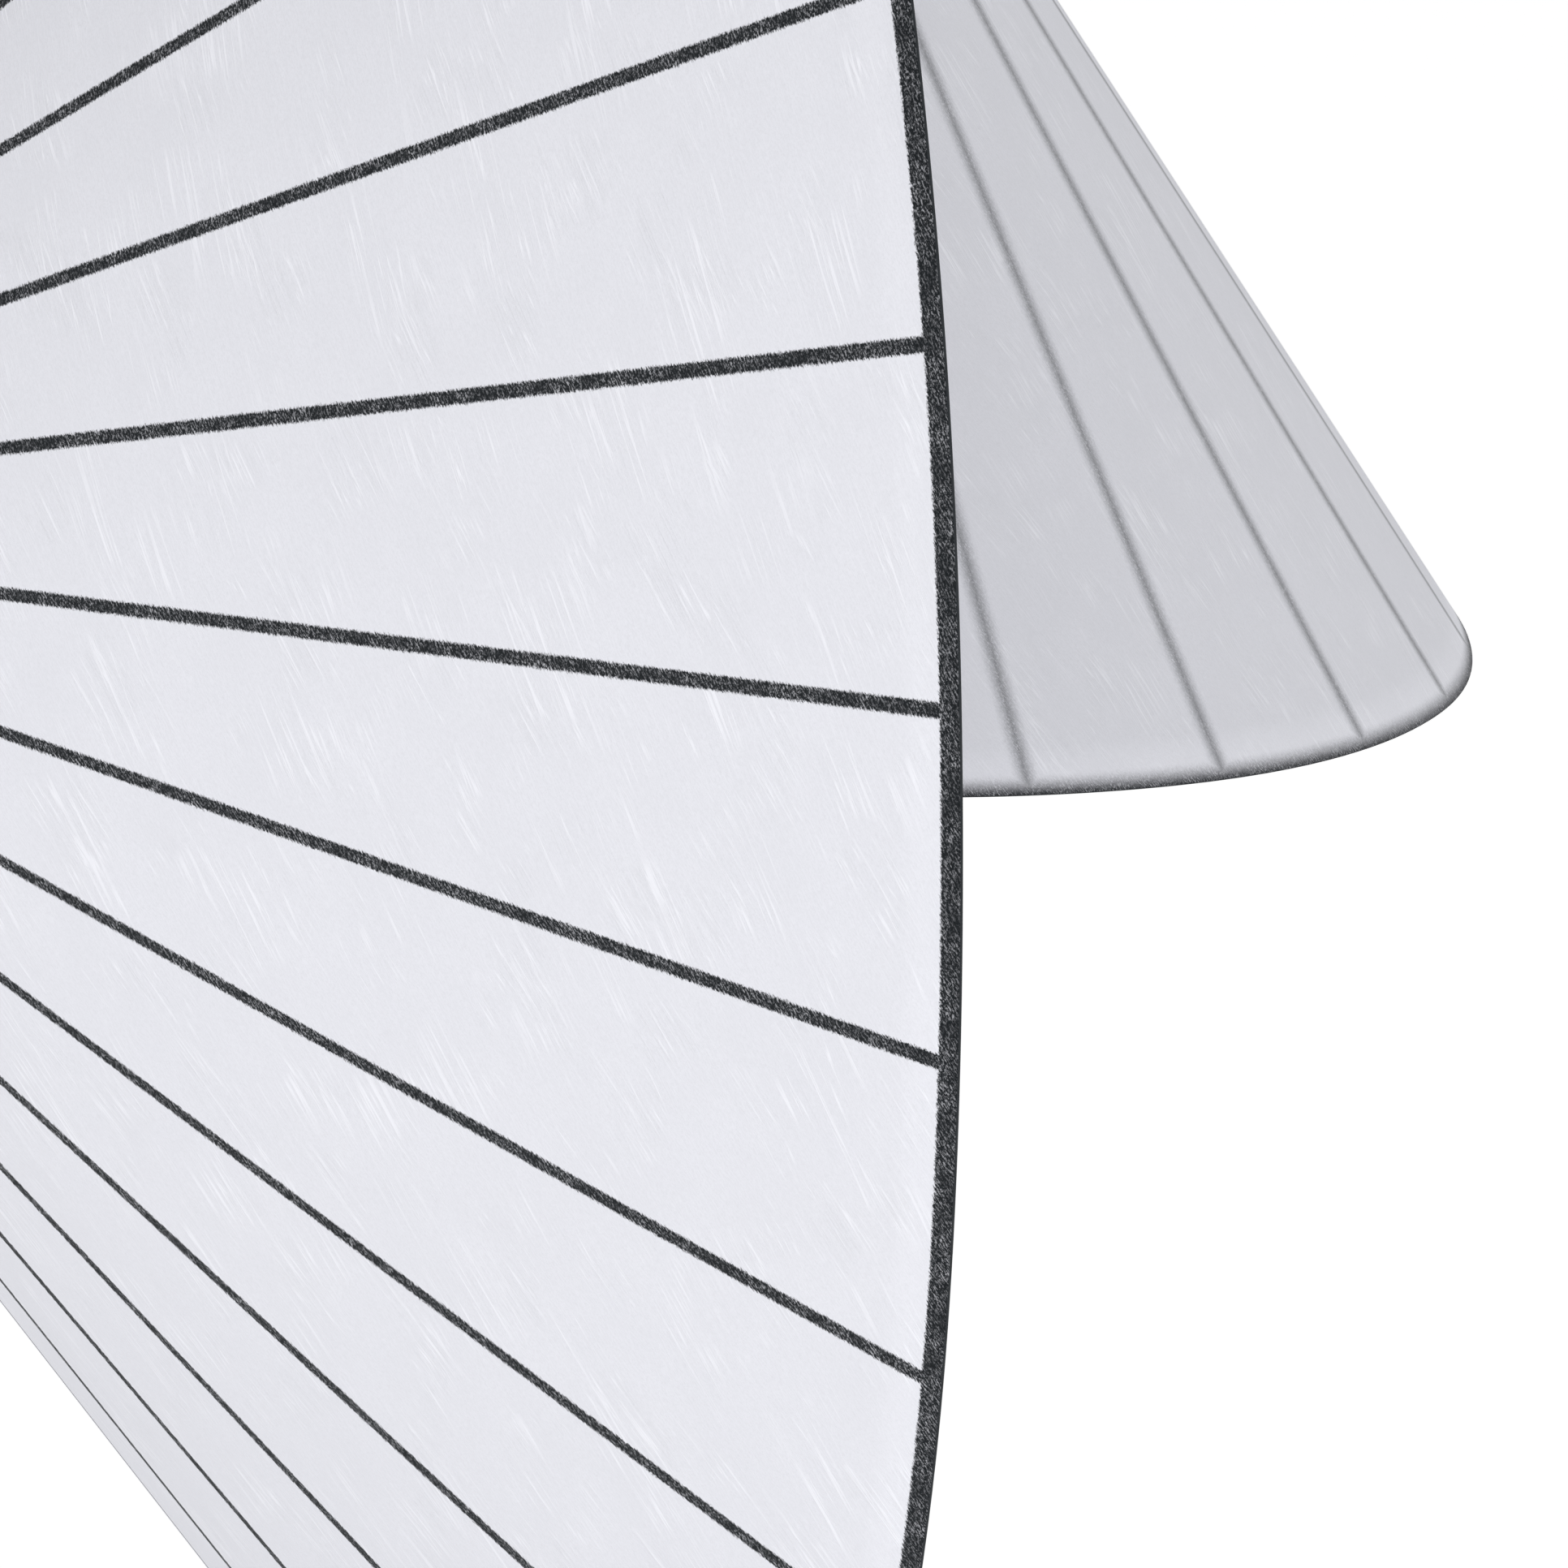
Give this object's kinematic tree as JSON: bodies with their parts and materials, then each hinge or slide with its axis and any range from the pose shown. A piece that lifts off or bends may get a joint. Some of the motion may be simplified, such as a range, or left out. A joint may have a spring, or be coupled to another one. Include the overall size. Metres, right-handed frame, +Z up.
{
  "type": "pendant lantern",
  "caption": "Pendant lantern with conical paper shades printed with radial lines, which tilt, turn and change height on a swivelling crossbar.",
  "frame": {"origin": "centre of the ceiling strap's screw holes, on the ceiling", "axes": "+Z up, out of the ceiling strap into the ceiling; +X along the crossbar towards the wide shade; +Y to the side the wide shade opens to"},
  "size_m": [0.8466, 0.5741, 0.9274],
  "materials": {
    "frame_paint": "satin powder coat",
    "zinc_steel": "zinc plated",
    "plain_steel": "bright",
    "holder_plastic": "matt",
    "terminal_plastic": "matt",
    "contact_brass": "bright",
    "printed_paper": "long-fibre, uncoated, printed",
    "rivet_metal": "satin",
    "bulb_cap": "bright",
    "opal_glass": "opal"
  },
  "bodies": {
    "ceiling": {"ceiling_strap": "zinc_steel", "nipple_plug": "zinc_steel", "nipple_nut": "zinc_steel", "stem_tube": "frame_paint", "stem_collar": "frame_paint", "terminal_block": "terminal_plastic", "terminal_screws": "plain_steel"},
    "canopy": {"canopy_cup": "frame_paint", "canopy_collar": "frame_paint", "canopy_grub": "plain_steel"},
    "bar": {"hub_body": "frame_paint", "hub_cap": "frame_paint", "bar_screw": "plain_steel", "crossbar_tube": "frame_paint", "end_block_wide": "frame_paint", "end_block_narrow": "frame_paint", "end_grubs": "plain_steel"},
    "drop_wide": {"drop_tube_wide": "frame_paint", "stop_ring_wide": "frame_paint", "swivel_plug_wide": "frame_paint", "swivel_screw_wide": "plain_steel"},
    "yoke_wide": {"fork_wide": "frame_paint", "pivot_bolt_wide": "plain_steel", "pivot_washer_wide": "plain_steel"},
    "wing_wide": {"wing_nut_wide": "plain_steel"},
    "holder_wide": {"tongue_wide": "frame_paint", "holder_cap_wide": "frame_paint", "holder_body_wide": "holder_plastic", "socket_shell_wide": "contact_brass", "centre_contact_wide": "contact_brass", "apex_cup_wide": "frame_paint", "shade_ring_wide": "holder_plastic"},
    "shade_wide": {"shade_wide": "printed_paper", "seam_rivets_wide": "rivet_metal"},
    "bulb_wide": {"bulb_base_wide": "bulb_cap", "bulb_globe_wide": "opal_glass"},
    "drop_narrow": {"drop_tube_narrow": "frame_paint", "stop_ring_narrow": "frame_paint", "swivel_plug_narrow": "frame_paint", "swivel_screw_narrow": "plain_steel"},
    "yoke_narrow": {"fork_narrow": "frame_paint", "pivot_bolt_narrow": "plain_steel", "pivot_washer_narrow": "plain_steel"},
    "wing_narrow": {"wing_nut_narrow": "plain_steel"},
    "holder_narrow": {"tongue_narrow": "frame_paint", "holder_cap_narrow": "frame_paint", "holder_body_narrow": "holder_plastic", "socket_shell_narrow": "contact_brass", "centre_contact_narrow": "contact_brass", "apex_cup_narrow": "frame_paint", "shade_ring_narrow": "holder_plastic"},
    "shade_narrow": {"shade_narrow": "printed_paper", "seam_rivets_narrow": "rivet_metal"},
    "bulb_narrow": {"bulb_base_narrow": "bulb_cap", "bulb_globe_narrow": "opal_glass"}
  },
  "joints": [
    {"name": "canopy_slide", "type": "slide", "parent": "ceiling", "child": "canopy", "axis": [0, 0, 1], "range_m": [-0.25, 0]},
    {"name": "crossbar_swivel", "type": "hinge", "parent": "ceiling", "child": "bar", "pos_m": [0, 0, -0.34], "axis": [0, 0, 1], "range_deg": [-170, 170]},
    {"name": "height_wide", "type": "slide", "parent": "bar", "child": "drop_wide", "axis": [0, 0, 1], "range_m": [0, 0.03]},
    {"name": "yaw_wide", "type": "hinge", "parent": "drop_wide", "child": "yoke_wide", "pos_m": [0.295, 0, -0.7], "axis": [0, 0, 1], "range_deg": [-128.7, 51.3]},
    {"name": "tilt_wide", "type": "hinge", "parent": "yoke_wide", "child": "holder_wide", "pos_m": [0.295, 0, -0.7], "axis": [0.7804, 0.6252, 0], "range_deg": [-197.7, 2.3]},
    {"name": "wing_nut_turn_wide", "type": "hinge", "parent": "yoke_wide", "child": "wing_wide", "pos_m": [0.295, 0, -0.7], "axis": [0.7804, 0.6252, 0], "range_deg": [0, 360]},
    {"name": "shade_turn_wide", "type": "hinge", "parent": "holder_wide", "child": "shade_wide", "pos_m": [0.24798, 0.05869, -0.68983], "axis": [-0.6196, 0.7734, 0.134], "range_deg": [-180, 180]},
    {"name": "bulb_out_wide", "type": "slide", "parent": "holder_wide", "child": "bulb_wide", "axis": [-0.6196, 0.7734, 0.134], "range_m": [0, 0.045]},
    {"name": "height_narrow", "type": "slide", "parent": "bar", "child": "drop_narrow", "axis": [0, 0, 1], "range_m": [-0.221, 0.07]},
    {"name": "yaw_narrow", "type": "hinge", "parent": "drop_narrow", "child": "yoke_narrow", "pos_m": [-0.295, 0, -0.4785], "axis": [0, 0, 1], "range_deg": [-90, 90]},
    {"name": "tilt_narrow", "type": "hinge", "parent": "yoke_narrow", "child": "holder_narrow", "pos_m": [-0.295, 0, -0.4785], "axis": [1, 0, 0], "range_deg": [-100, 100]},
    {"name": "wing_nut_turn_narrow", "type": "hinge", "parent": "yoke_narrow", "child": "wing_narrow", "pos_m": [-0.295, 0, -0.4785], "axis": [1, 0, 0], "range_deg": [0, 360]},
    {"name": "shade_turn_narrow", "type": "hinge", "parent": "holder_narrow", "child": "shade_narrow", "pos_m": [-0.295, 0, -0.54442], "axis": [0, 0, -1], "range_deg": [-180, 180]},
    {"name": "bulb_out_narrow", "type": "slide", "parent": "holder_narrow", "child": "bulb_narrow", "axis": [0, 0, -1], "range_m": [0, 0.045]}
  ]
}
